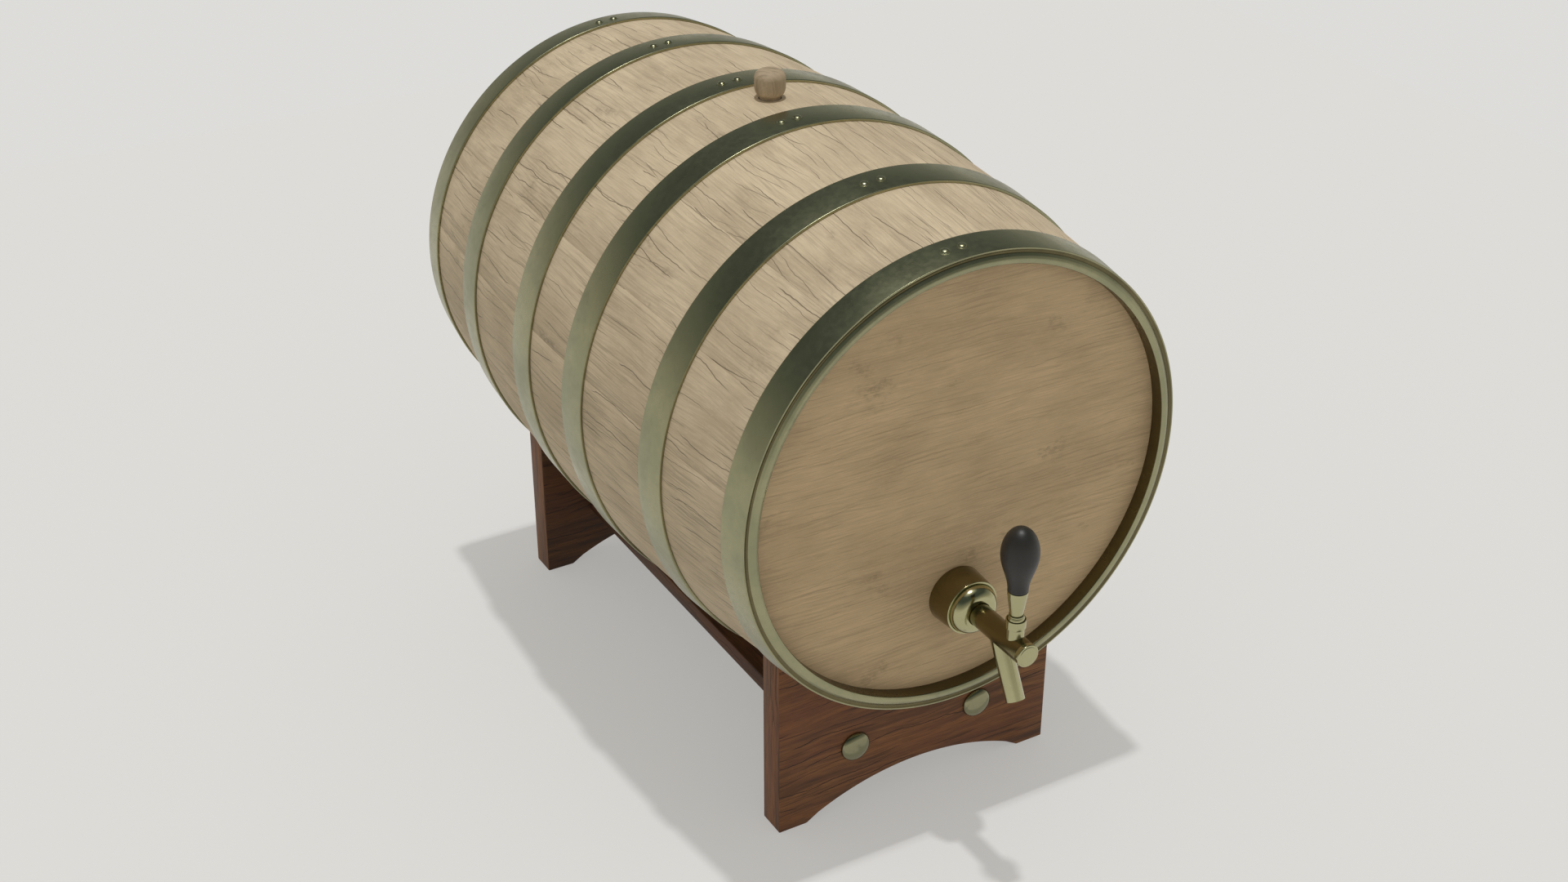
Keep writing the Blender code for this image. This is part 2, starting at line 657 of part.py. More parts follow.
def valve(metal, seal, parent):
    """The sliding shaft, with its rubber washer behind the seat; it is modelled at the shut position."""
    slot = LEVER_PLACE + PIVOT_HEIGHT * math.sin(FINGER_LEAN)
    half_width = FINGER_TIP_RADIUS + GAP
    half_length = FINGER_TIP_RADIUS + SLOT_PLAY
    front = slot + half_length + SHAFT_END_WALL
    washer_front = SEAT_PLACE - GAP
    washer_back = washer_front - WASHER_THICKNESS
    keeper_front = washer_back - GAP
    outline = [
        (0, front),
        (SHAFT_RADIUS, front),
        (SHAFT_RADIUS, washer_front + GAP),
        (WASHER_HUB, washer_front + GAP),
        (WASHER_HUB, keeper_front),
        (KEEPER_RADIUS, keeper_front),
        (KEEPER_RADIUS, keeper_front - KEEPER_THICKNESS),
        (0, keeper_front - KEEPER_THICKNESS),
    ]
    shaft = piece("valve_shaft", turned(forwards(outline), SMALL_SIDES, "Y"), metal, parent)
    opening = box(
        (-half_width, -slot - half_length, -2 * SHAFT_RADIUS),
        (half_width, -slot + half_length, 2 * SHAFT_RADIUS),
    )
    combine(shaft, piece("slot_tool", opening, None, parent))
    bore = WASHER_HUB + GAP
    ring = [
        (bore, washer_back),
        (WASHER_RADIUS, washer_back),
        (WASHER_RADIUS, washer_front),
        (bore, washer_front),
    ]
    piece("valve_washer", turned(forwards(ring), SMALL_SIDES, "Y"), seal, parent)


def shank_fixing(metal, seal, parent):
    """Inside the barrel: the gasket against the head, and the nut that draws the bell up to it."""
    bore = SHANK_RADIUS + GAP
    start = -HEAD_THICKNESS - GAP
    middle = start - GASKET_THICKNESS
    rim = bore + GASKET_WALL
    ring = [(bore, start), (rim, start), (rim, middle), (bore, middle)]
    piece("shank_gasket", turned(forwards(ring), SMALL_SIDES, "Y"), seal, parent)
    nut_face = -middle + GAP
    hexagon = rod(bore + NUT_WALL, nut_face, nut_face + NUT_THICKNESS, 6, "Y")
    nut = piece("shank_nut", hexagon, metal, parent)
    hole = rod(bore, 0, nut_face + 2 * NUT_THICKNESS, SMALL_SIDES, "Y")
    combine(nut, piece("nut_tool", hole, None, parent))


def main():
    clear_scene()
    stave_oak = material("stave_oak", (0.42, 0.33, 0.22), 0.7)
    head_oak = material("head_oak", (0.36, 0.27, 0.17), 0.7)
    bung_wood = material("bung_wood", (0.40, 0.29, 0.18), 0.65)
    hoop_brass = material("hoop_brass", (0.30, 0.29, 0.18), 0.38, 1.0)
    tap_brass = material("tap_brass", (0.45, 0.40, 0.22), 0.25, 1.0)
    stand_wood = material("stand_wood", (0.13, 0.05, 0.028), 0.5)
    grip_black = material("grip_black", (0.02, 0.02, 0.022), 0.45)
    rubber = material("rubber", (0.03, 0.03, 0.03), 0.8)

    stand_place = empty("stand_place", (0, BARREL_MIDDLE, 0))
    barrel_place = empty("barrel_place", (0, BARREL_MIDDLE, AXIS_HEIGHT))
    tap_place = empty("tap_place", (0, -HEAD_FACE, -TAP_DROP), barrel_place)
    lever_pivot = empty("lever_pivot", (0, -LEVER_PLACE, PIVOT_HEIGHT), tap_place)

    stand(stand_wood, hoop_brass, stand_place)
    staves(stave_oak, barrel_place)
    heads(head_oak, barrel_place)
    hoops(hoop_brass, barrel_place)
    bung(bung_wood, barrel_place)

    tap_flange(tap_brass, tap_place)
    tap_body(tap_brass, tap_place)
    tap_cap(tap_brass, tap_place)
    bonnet(tap_brass, lever_pivot)
    lever(tap_brass, lever_pivot)
    ferrule(tap_brass, lever_pivot)
    grip(grip_black, lever_pivot)
    valve(tap_brass, rubber, tap_place)
    shank_fixing(tap_brass, rubber, tap_place)


main()
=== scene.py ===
import math

import bmesh
import bpy
from mathutils import Matrix, Vector


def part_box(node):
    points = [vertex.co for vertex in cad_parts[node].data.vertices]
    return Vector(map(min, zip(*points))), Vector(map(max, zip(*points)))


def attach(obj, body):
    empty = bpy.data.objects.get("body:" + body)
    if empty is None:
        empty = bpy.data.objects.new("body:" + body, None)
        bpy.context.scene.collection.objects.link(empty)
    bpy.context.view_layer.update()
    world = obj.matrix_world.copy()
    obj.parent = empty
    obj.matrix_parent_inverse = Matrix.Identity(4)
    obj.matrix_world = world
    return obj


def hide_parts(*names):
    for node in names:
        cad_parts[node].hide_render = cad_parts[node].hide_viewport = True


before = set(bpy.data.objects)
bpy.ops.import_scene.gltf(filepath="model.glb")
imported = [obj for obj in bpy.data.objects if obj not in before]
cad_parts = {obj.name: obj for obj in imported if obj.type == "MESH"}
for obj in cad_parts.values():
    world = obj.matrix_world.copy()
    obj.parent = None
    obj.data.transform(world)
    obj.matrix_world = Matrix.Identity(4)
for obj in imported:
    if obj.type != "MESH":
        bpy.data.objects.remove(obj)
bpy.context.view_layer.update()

# Places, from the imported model
front_hoop_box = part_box("front_head_hoop")
rear_hoop_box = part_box("rear_head_hoop")
AXIS = (front_hoop_box[0].z + front_hoop_box[1].z) / 2
MIDDLE = (front_hoop_box[0].y + rear_hoop_box[1].y) / 2
bung_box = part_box("bung")
BUNG_Y = (bung_box[0].y + bung_box[1].y) / 2
bell_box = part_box("tap_flange")
bonnet_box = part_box("tap_bonnet")
cap_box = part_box("tap_end_cap")
grip_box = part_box("handle_grip")

# Sizes of the barrel, in metres
STAVES = 16
FACET = math.cos(math.pi / 48)  # keeps a round surface inside the model's flat facets
BILGE = 0.1603 * FACET
CHIME = 0.1453 * FACET
END = 0.2229
STAVE_THICKNESS = 0.014
CHIME_INSIDE = 0.1395 * FACET
HEAD_FACE = 0.216
HEAD_BACK = 0.202
HEAD_RADIUS = 0.1384 * FACET
HALF_BOARD = 0.0476  # of a head's middle board
BUNG_HOLE = 0.0072
SHANK_HOLE = 0.0093
HOOP = 0.0018  # from the wood to a hoop's outside
QUARTER_HOOP = (0.13075, 0.0233)  # place from the barrel's middle, and width
BILGE_HOOP = (0.0370, 0.0248)
HEAD_HOOP = 0.2032  # where a head hoop starts
LIP = 0.2239  # where it turns in over the staves' ends
SLEEVE = 0.1377 * FACET
HEAD_RIVETS = 0.21305  # place of a head hoop's rivets
RIVETS = (-0.0041, -0.0152)  # round the barrel from its top
HAIR = 0.00003  # a hairline joint
PROUD = 0.00002  # of a face laid against another


def wood(y):
    """Outside radius of the staves at a distance from the barrel's middle."""
    return BILGE - (BILGE - CHIME) * (y / END) ** 2


# ---------------------------------------------------------------- mesh helpers

# Turned shapes are made round Z; these lay them along the barrel
ALONG_Y = Matrix(((1, 0, 0, 0), (0, 0, 1, 0), (0, -1, 0, 0), (0, 0, 0, 1)))
FORWARDS = Matrix(((1, 0, 0, 0), (0, 0, -1, 0), (0, 1, 0, 0), (0, 0, 0, 1)))


def round_corners(corners, steps=5, closed=True):
    """(r, h, radius) corners as a polyline with each corner rounded off."""
    points = []
    count = len(corners)
    for i, (x, y, radius) in enumerate(corners):
        here = Vector((x, y))
        if not radius or (not closed and i in (0, count - 1)):
            points.append((x, y))
            continue
        before = Vector(corners[i - 1][:2]) - here
        after = Vector(corners[(i + 1) % count][:2]) - here
        half = before.angle(after) / 2
        reach = min(radius / math.tan(half), 0.49 * before.length, 0.49 * after.length)
        radius = reach * math.tan(half)
        centre = here + (before.normalized() + after.normalized()).normalized() * radius / math.sin(half)
        start = here + before.normalized() * reach - centre
        finish = here + after.normalized() * reach - centre
        sweep = start.angle_signed(finish)
        for k in range(steps + 1):
            spoke = start.copy()
            spoke.rotate(Matrix.Rotation(-sweep * k / steps, 2))
            points.append(tuple(centre + spoke))
    return points


def arc(middle, across, up, start, finish, steps):
    """Points on an ellipse, by angles in degrees."""
    found = []
    for k in range(steps + 1):
        angle = math.radians(start + (finish - start) * k / steps)
        found.append((middle[0] + across * math.cos(angle), middle[1] + up * math.sin(angle)))
    return found


def turned(profile, sides=160, closed=False):
    """(vertices, faces) of (radius, height) points turned about Z."""
    verts = []
    rings = []
    for radius, height in profile:
        count = sides if radius > 1e-7 else 1
        rings.append(range(len(verts), len(verts) + count))
        for k in range(count):
            angle = math.tau * k / sides
            verts.append((radius * math.cos(angle), radius * math.sin(angle), height))
    pairs = list(zip(rings, rings[1:]))
    if closed:
        pairs.append((rings[-1], rings[0]))
    faces = []
    for low, high in pairs:
        for k in range(sides):
            after = k + 1
            corners = (low[k % len(low)], low[after % len(low)], high[after % len(high)], high[k % len(high)])
            faces.append(tuple(dict.fromkeys(corners)))
    return verts, faces


def rod(radius, start, finish, sides=96):
    """A plain cylinder between two heights."""
    return turned([(0, start), (radius, start), (radius, finish), (0, finish)], sides)


def make(name, shape, look, place=Matrix.Identity(4)):
    """An object from (vertices, faces), its normals facing out."""
    mesh = bpy.data.meshes.new(name)
    mesh.from_pydata(shape[0], [], shape[1])
    mesh.transform(place)
    work = bmesh.new()
    work.from_mesh(mesh)
    bmesh.ops.recalc_face_normals(work, faces=work.faces)
    work.to_mesh(mesh)
    work.free()
    mesh.materials.append(look)
    made = bpy.data.objects.new(name, mesh)
    bpy.context.scene.collection.objects.link(made)
    return made


def settle(made):
    """Apply the object's modifiers to its mesh."""
    bpy.context.view_layer.update()
    settled = bpy.data.meshes.new_from_object(made.evaluated_get(bpy.context.evaluated_depsgraph_get()))
    made.modifiers.clear()
    made.data = settled


def cut(made, tool, operation="DIFFERENCE"):
    """Cut the tool from the object, or join it on, and remove the tool."""
    boolean = made.modifiers.new("cut", "BOOLEAN")
    boolean.operation = operation
    boolean.object = tool
    boolean.solver = "EXACT"
    settle(made)
    bpy.data.objects.remove(tool)


def bevel(made, width, angle=35, segments=3):
    soften = made.modifiers.new("bevel", "BEVEL")
    soften.width = width
    soften.segments = segments
    soften.limit_method = "ANGLE"
    soften.angle_limit = math.radians(angle)
    settle(made)


def smooth(made, angle=35):
    made.data.shade_smooth()
    made.data.set_sharp_from_angle(angle=math.radians(angle))


def place_on(made, body, slot, *nodes):
    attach(made, body)
    if nodes:
        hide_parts(*nodes)
    return made


def second_look(made, look, rule):
    """Give another look to the faces that the rule picks."""
    made.data.materials.append(look)
    for face in made.data.polygons:
        face.material_index = int(rule(face))


def grain(made, rule):
    """Store where each corner lies in its timber: along the grain, across it and in depth."""
    mesh = made.data
    found = mesh.attributes.new("grain", "FLOAT_VECTOR", "CORNER")
    values = []
    for face in mesh.polygons:
        for index in face.vertices:
            values.extend(rule(mesh.vertices[index].co, face.normal))
    found.data.foreach_set("vector", values)


# ---------------------------------------------------------------- node helpers


class Look:
    """A material, and short ways to add its nodes."""

    def __init__(self, name):
        self.material = bpy.data.materials.new(name)
        self.material.use_nodes = True
        self.tree = self.material.node_tree
        self.shader = self.tree.nodes["Principled BSDF"]

    def put(self, socket, value):
        if isinstance(value, bpy.types.NodeSocket):
            self.tree.links.new(value, socket)
        elif value is not None:
            socket.default_value = value

    def node(self, kind, inputs=(), **settings):
        made = self.tree.nodes.new(kind)
        for key, value in settings.items():
            setattr(made, key, value)
        for key, value in dict(inputs).items():
            self.put(made.inputs[key], value)
        return made

    def attribute(self, name):
        return self.node("ShaderNodeAttribute", attribute_name=name).outputs["Vector"]

    def position(self):
        return self.node("ShaderNodeTexCoord").outputs["Object"]

    def scaled(self, vector, scale, location=(0, 0, 0)):
        inputs = {"Vector": vector, "Scale": scale, "Location": location}
        return self.node("ShaderNodeMapping", inputs).outputs[0]

    def noise(self, vector, detail=2.0, roughness=0.5):
        inputs = {"Vector": vector, "Scale": 1.0, "Detail": detail, "Roughness": roughness}
        return self.node("ShaderNodeTexNoise", inputs).outputs["Fac"]

    def math(self, operation, a, b=None):
        made = self.node("ShaderNodeMath", operation=operation)
        self.put(made.inputs[0], a)
        self.put(made.inputs[1], b)
        return made.outputs[0]

    def between(self, value, low, high, to_low=0.0, to_high=1.0):
        """value, spread from low..high to to_low..to_high with soft ends."""
        return self.node(
            "ShaderNodeMapRange",
            {"Value": value, "From Min": low, "From Max": high, "To Min": to_low, "To Max": to_high},
            interpolation_type="SMOOTHSTEP",
        ).outputs[0]

    def mix(self, share, a, b):
        made = self.node("ShaderNodeMix", data_type="RGBA")
        self.put(made.inputs[0], share)
        for socket, value in ((made.inputs[6], a), (made.inputs[7], b)):
            self.put(socket, (*value, 1.0) if isinstance(value, tuple) else value)
        return made.outputs[2]

    def shift(self, vector, amount):
        """vector with an amount added across the grain."""
        offset = self.node("ShaderNodeCombineXYZ", {"Y": amount})
        moved = self.node("ShaderNodeVectorMath", {0: vector, 1: offset.outputs[0]}, operation="ADD")
        return moved.outputs[0]

    def bump(self, height, distance, strength):
        inputs = {"Height": height, "Distance": distance, "Strength": strength}
        return self.node("ShaderNodeBump", inputs).outputs[0]

    def finish(self, **inputs):
        for key, value in inputs.items():
            socket = self.shader.inputs[key.replace("_", " ")]
            self.put(socket, (*value, 1.0) if key == "Base_Color" and isinstance(value, tuple) else value)
        return self.material


def shade(colour, strength):
    """A colour made darker or lighter."""
    return tuple(min(1, strength * part) for part in colour)


def wandering(look, vector, share, reach):
    """The grain's place, moved across by slow noise so that the streaks wander."""
    slow = look.noise(look.scaled(vector, share), 2.0)
    return look.shift(vector, look.math("MULTIPLY", look.math("SUBTRACT", slow, 0.5), reach))


def cracks(look, vector, pitch, width, share, seed):
    """Thin wavy splits along the grain: lines a pitch apart, each broken into a few short lengths."""
    slow = look.noise(look.scaled(vector, (13, 9, 0), (seed, 0, 0)), 1.0)
    jagged = look.noise(look.scaled(vector, (75, 60, 0), (0, seed, 0)), 2.0, 0.6)
    across = look.node("ShaderNodeSeparateXYZ", {0: vector}).outputs["Y"]
    across = look.math("ADD", across, look.math("MULTIPLY", slow, 0.020))
    across = look.math("ADD", across, look.math("MULTIPLY", jagged, 0.0032))
    lines = look.math("DIVIDE", across, pitch)
    number = look.math("FLOOR", lines)
    off = look.math("ABSOLUTE", look.math("SUBTRACT", look.math("FRACT", lines), 0.5))
    along = look.node("ShaderNodeSeparateXYZ", {0: vector}).outputs["X"]
    spot = look.node("ShaderNodeCombineXYZ")
    look.put(spot.inputs["X"], look.math("MULTIPLY", along, 15.0))
    look.put(spot.inputs["Y"], look.math("MULTIPLY", number, 7.31))
    spot.inputs["Z"].default_value = seed
    chance = look.noise(spot.outputs[0], 0.0)
    open_here = look.between(chance, share, share + 0.10)
    reach = look.math("MULTIPLY", open_here, width / pitch)
    near = look.math("SUBTRACT", reach, off)
    return look.math("MULTIPLY", look.between(near, 0.0, 0.3 * width / pitch), open_here)


def streaks(look, vector, size, low, high, seed):
    """Short dark dashes along the grain."""
    return look.between(look.noise(look.scaled(vector, size, (seed, 2 * seed, 0)), 2.0, 0.55), low, high)


def oak(name, light, dark, crack_share, seed, smudge_share, streak_share):
    """Pale wood: fine grain and blotches, then dark dashes, smudges and splits by their shares."""
    look = Look(name)
    vector = look.attribute("grain")
    bent = wandering(look, vector, (9, 30, 20), 0.010)
    fine = look.noise(look.scaled(bent, (45, 1300, 500)), 3.0, 0.6)
    medium = look.noise(look.scaled(bent, (20, 300, 90), (seed, 0, 0)), 3.0, 0.5)
    broad = look.noise(look.scaled(vector, (16, 24, 20), (0, seed, 0)), 3.0, 0.6)
    speckle = look.noise(look.scaled(bent, (260, 900, 900)), 2.0, 0.6)
    thick = look.noise(look.scaled(vector, (11, 14, 20), (seed, seed, 0)), 2.0)

    colour = look.mix(look.between(medium, 0.2, 0.8), dark, light)
    colour = look.mix(0.62, colour, look.mix(look.between(broad, 0.34, 0.66), dark, light))
    colour = look.mix(look.between(fine, 0.35, 0.75, 0.0, 0.36), colour, shade(dark, 0.62))
    colour = look.mix(look.between(speckle, 0.5, 0.8, 0.0, 0.25), colour, shade(light, 1.12))
    dash = look.math(
        "MAXIMUM",
        streaks(look, bent, (20, 760, 90), 0.52, 0.64, seed),
        look.math("MULTIPLY", streaks(look, bent, (30, 620, 90), 0.60, 0.72, seed + 3), 0.7),
    )
    dash = look.math("MULTIPLY", dash, look.between(thick, 0.30, 0.65, 0.25, 1.0))
    colour = look.mix(look.math("MULTIPLY", dash, streak_share), colour, shade(dark, 0.52))

    patch = look.noise(look.scaled(vector, (22, 34, 20), (2.3 * seed, 0, 0)), 4.0, 0.62)
    dusting = look.noise(look.scaled(bent, (200, 420, 300)), 3.0, 0.7)
    smudge = look.math("MULTIPLY", look.between(patch, 0.60, 0.74), look.between(dusting, 0.35, 0.65))
    colour = look.mix(look.math("MULTIPLY", smudge, smudge_share), colour, shade(dark, 0.45))

    crack = look.math(
        "MAXIMUM",
        cracks(look, vector, 0.0085, 0.00034, 0.545, seed),
        look.math("MULTIPLY", cracks(look, vector, 0.0052, 0.00025, 0.56, seed + 5), 0.8),
    )
    crack = look.math("MULTIPLY", crack, crack_share)
    colour = look.mix(crack, colour, shade(dark, 0.30))

    relief = look.math("SUBTRACT", look.math("MULTIPLY", fine, -0.35), crack)
    relief = look.math("SUBTRACT", relief, look.math("MULTIPLY", dash, 0.3))
    normal = look.bump(relief, 0.0002, 0.7)
    rough = look.between(medium, 0.2, 0.8, 0.62, 0.78)
    return look.finish(Base_Color=colour, Roughness=rough, Normal=normal, Specular_IOR_Level=0.35)


def mahogany(name, seed, strength):
    """Red-brown wood with open pores and a few splits."""
    look = Look(name)
    vector = look.attribute("grain")
    bent = wandering(look, vector, (10, 26, 20), 0.012)
    fine = look.noise(look.scaled(bent, (50, 1100, 500)), 3.0, 0.6)
    medium = look.noise(look.scaled(bent, (12, 190, 90), (seed, 0, 0)), 3.0, 0.6)
    broad = look.noise(look.scaled(vector, (7, 24, 20), (0, seed, 0)), 2.0)
    pores = look.between(look.noise(look.scaled(bent, (90, 2400, 900), (seed, seed, 0)), 1.0), 0.58, 0.70)
    dark = shade((0.090, 0.038, 0.016), strength)
    light = shade((0.290, 0.134, 0.056), strength)
    red = shade((0.235, 0.086, 0.038), strength)
    colour = look.mix(look.between(medium, 0.30, 0.70), dark, light)
    colour = look.mix(look.between(broad, 0.35, 0.7, 0.0, 0.6), colour, red)
    colour = look.mix(look.between(fine, 0.40, 0.75, 0.0, 0.55), colour, dark)
    colour = look.mix(look.math("MULTIPLY", pores, 0.45), colour, (0.025, 0.012, 0.008))
    crack = cracks(look, vector, 0.0060, 0.00035, 0.57, seed + 2)
    colour = look.mix(look.math("MULTIPLY", crack, 0.85), colour, (0.018, 0.008, 0.005))
    dash = streaks(look, bent, (16, 420, 90), 0.58, 0.68, seed)
    colour = look.mix(look.math("MULTIPLY", dash, 0.55), colour, (0.030, 0.012, 0.008))
    relief = look.math("SUBTRACT", look.math("MULTIPLY", fine, -0.4), crack)
    normal = look.bump(relief, 0.0002, 0.6)
    rough = look.between(medium, 0.2, 0.8, 0.46, 0.62)
    return look.finish(Base_Color=colour, Roughness=rough, Normal=normal, Specular_IOR_Level=0.28)


def brass(name, clean, aged, low_rough, high_rough, seed, patina=0.5):
    """Aged brass, clouded and flecked with its aged colour."""
    look = Look(name)
    place = look.position()
    cloud = look.noise(look.scaled(place, (22, 22, 22), (seed, 0, 0)), 5.0, 0.62)
    fleck = look.noise(look.scaled(place, (240, 240, 240), (0, seed, 0)), 3.0, 0.6)
    grit = look.noise(look.scaled(place, (1500, 1500, 1500)), 2.0, 0.5)
    colour = look.mix(look.between(cloud, 0.35, 0.70, 0.0, patina), clean, aged)
    colour = look.mix(look.between(fleck, 0.52, 0.75, 0.0, 0.30), colour, aged)
    rough = look.between(cloud, 0.3, 0.7, low_rough, high_rough)
    rough = look.math("ADD", rough, look.between(fleck, 0.3, 0.8, -0.02, 0.05))
    normal = look.bump(grit, 0.00002, 0.5)
    return look.finish(Base_Color=colour, Metallic=1.0, Roughness=rough, Normal=normal)


def plain(name, colour, rough, grit_size, grit_depth):
    """One dull colour, faintly mottled, with a fine grit."""
    look = Look(name)
    place = look.position()
    grit = look.noise(look.scaled(place, (grit_size,) * 3), 3.0, 0.6)
    cloud = look.noise(look.scaled(place, (60, 60, 60)), 3.0, 0.5)
    mottled = look.mix(look.between(cloud, 0.3, 0.7), shade(colour, 0.85), colour)
    return look.finish(
        Base_Color=mottled,
        Roughness=look.between(grit, 0.3, 0.7, rough - 0.04, rough + 0.04),
        Normal=look.bump(grit, grit_depth, 0.6),
    )


stave_look = oak("stave_oak", (0.735, 0.602, 0.416), (0.53, 0.422, 0.28), 0.8, 1.7, 0.55, 0.4)
head_look = oak("head_oak", (0.76, 0.562, 0.335), (0.58, 0.42, 0.244), 0.2, 8.1, 0.55, 0.27)
bung_look = oak("bung_wood", (0.57, 0.455, 0.31), (0.39, 0.30, 0.19), 0.0, 4.4, 0.1, 0.9)
stand_look = mahogany("stand_wood", 2.6, 1.15)
# The stand's mahogany made darker: painted shade on the boards' inner faces and on the rails under the barrel.
painted_shade_wood_look = mahogany("stand_wood_painted_shade", 2.6, 0.6)
hoop_look = brass("hoop_brass", (0.37, 0.355, 0.215), (0.27, 0.275, 0.17), 0.26, 0.36, 3.1, 0.7)
bolt_look = brass("bolt_brass", (0.29, 0.28, 0.17), (0.20, 0.195, 0.12), 0.10, 0.18, 5.3)
tap_look = brass("tap_brass", (0.475, 0.455, 0.265), (0.40, 0.375, 0.21), 0.12, 0.20, 7.7, 0.4)
# The tap brass made darker: painted dark reflection on the bell's side and on the tube.
painted_shade_tap_look = brass("tap_brass_painted_shade", (0.235, 0.20, 0.10), (0.18, 0.15, 0.072), 0.14, 0.22, 7.7, 0.4)
# The hoop brass made darker: painted dark reflection on the hoops' inner faces and painted shade in the lips'
# grooves.
painted_shade_hoop_look = brass("hoop_brass_painted_shade", (0.17, 0.145, 0.075), (0.12, 0.105, 0.055), 0.26, 0.36, 3.1, 0.7)
grip_look = plain("grip_black", (0.0228, 0.0212, 0.0188), 0.44, 900, 0.00002)
rubber_look = plain("rubber", (0.022, 0.022, 0.022), 0.75, 1200, 0.00003)

# ---------------------------------------------------------------- barrel

barrel = Matrix.Translation((0, MIDDLE, AXIS))
turned_barrel = barrel @ ALONG_Y

STAVE_INSIDE = [
    (0.0, BILGE - STAVE_THICKNESS),
    (0.188, wood(0.188) - STAVE_THICKNESS),
    (0.2014, CHIME_INSIDE),
    (0.2045, CHIME_INSIDE),
    (0.209, CHIME_INSIDE + 0.0036),
    (0.2135, CHIME_INSIDE),
    (END, CHIME_INSIDE),
]


def inside(y):
    """Inside radius of the staves."""
    y = abs(y)
    for (a, low), (b, high) in zip(STAVE_INSIDE, STAVE_INSIDE[1:]):
        if y <= b:
            if a == 0:
                return wood(y) - STAVE_THICKNESS
            return low + (high - low) * (y - a) / (b - a)
    return CHIME_INSIDE


def stave_shape(number, across=8, along=44):
    """A stave with a round back, and hairline joints to its neighbours."""
    middle = math.tau * number / STAVES
    half = math.pi / STAVES
    bends = {side * y for y, _ in STAVE_INSIDE for side in (-1, 1)}
    ways = sorted(bends | {END * (2 * k / along - 1) for k in range(along + 1)})
    verts = []
    for y in ways:
        outer = wood(y)
        edge = half - HAIR / outer
        shoulder = half - 0.0003 / outer
        angles = [-edge, *(shoulder * (2 * k / across - 1) for k in range(across + 1)), edge]
        for k, angle in enumerate(angles):
            radius = outer - (0.00012 if k in (0, across + 2) else 0)
            verts.append((radius * math.sin(middle + angle), y, radius * math.cos(middle + angle)))
        inner = inside(y)
        for angle in reversed(angles):
            verts.append((inner * math.sin(middle + angle), y, inner * math.cos(middle + angle)))
    ring = 2 * (across + 3)
    faces = []
    for row in range(len(ways) - 1):
        for k in range(ring):
            a = row * ring + k
            b = row * ring + (k + 1) % ring
            faces.append((a, b, b + ring, a + ring))
    for start in (0, (len(ways) - 1) * ring):
        for k in range(across + 2):
            faces.append((start + k, start + k + 1, start + ring - 2 - k, start + ring - 1 - k))
    return verts, faces


def build_staves():
    for number in range(STAVES):
        node = "bung_stave" if number == 0 else f"stave_{number:02d}"
        made = make(f"{node}_oak", stave_shape(number), stave_look, barrel)
        if number == 0:
            spot = barrel @ Matrix.Translation((0, BUNG_Y - MIDDLE, 0))
            cut(made, make("hole_tool", rod(BUNG_HOLE, 0.12, 0.18, 64), stave_look, spot))
        smooth(made, 30)
        lengthwise = 0.37 * ((number * 5) % 7)

        def rule(co, normal, lengthwise=lengthwise):
            x, z = co.x, co.z - AXIS
            turn = math.atan2(x, z)
            if number > STAVES / 2 and turn < 0:
                turn += math.tau
            return (co.y + lengthwise, turn * BILGE, math.hypot(x, z))

        grain(made, rule)
        place_on(made, "barrel", "stave_oak", node)


def head_outline(low, high, radius, steps=72):
    """A disc between two heights, as (x, z) points."""

    def span(start, finish):
        turns = (start + (finish - start) * k / steps for k in range(steps + 1))
        return [(radius * math.cos(turn), radius * math.sin(turn)) for turn in turns]

    low_turn = math.asin(max(-1, low / radius))
    high_turn = math.asin(min(1, high / radius))
    return span(low_turn, high_turn) + span(math.pi - high_turn, math.pi - low_turn)


def extruded(outline, front, back):
    """(vertices, faces) of an (x, z) outline between two y places."""
    count = len(outline)
    verts = [(x, y, z) for y in (front, back) for x, z in outline]
    faces = [tuple(range(count)), tuple(range(2 * count - 1, count - 1, -1))]
    faces += [(k, (k + 1) % count, count + (k + 1) % count, count + k) for k in range(count)]
    return verts, faces


def build_heads():
    bands = (
        ("top", HALF_BOARD, HEAD_RADIUS),
        ("middle", -HALF_BOARD, HALF_BOARD),
        ("bottom", -HEAD_RADIUS, -HALF_BOARD),
    )
    for end, side in (("front", -1), ("rear", 1)):
        for place, low, high in bands:
            node = f"{end}_head_{place}_board"
            outline = head_outline(low + HAIR, high - HAIR, HEAD_RADIUS)
            shape = extruded(outline, side * HEAD_FACE, side * HEAD_BACK)
            made = make(f"{node}_oak", shape, head_look, barrel)
            if node == "front_head_bottom_board":
                height = (bell_box[0].z + bell_box[1].z) / 2 - AXIS
                spot = barrel @ Matrix.Translation((0, 0, height)) @ ALONG_Y
                cut(made, make("shank_tool", rod(SHANK_HOLE, -0.23, -0.19, 64), head_look, spot))
            bevel(made, 0.00008, 60, 1)
            smooth(made, 30)
            grain(made, lambda co, normal, side=side: (co.x + side, co.z, co.y))
            place_on(made, "barrel", "head_oak", node)


def band_profile(start, finish):
    """A hoop's section: rounded edges, and an outside that follows the staves."""
    corners = [
        (wood(start) + 0.00004, start, 0.0002),
        (wood(start) + HOOP, start, 0.0005),
        (wood(finish) + HOOP, finish, 0.0005),
        (wood(finish) + 0.00004, finish, 0.0002),
    ]
    return round_corners(corners)


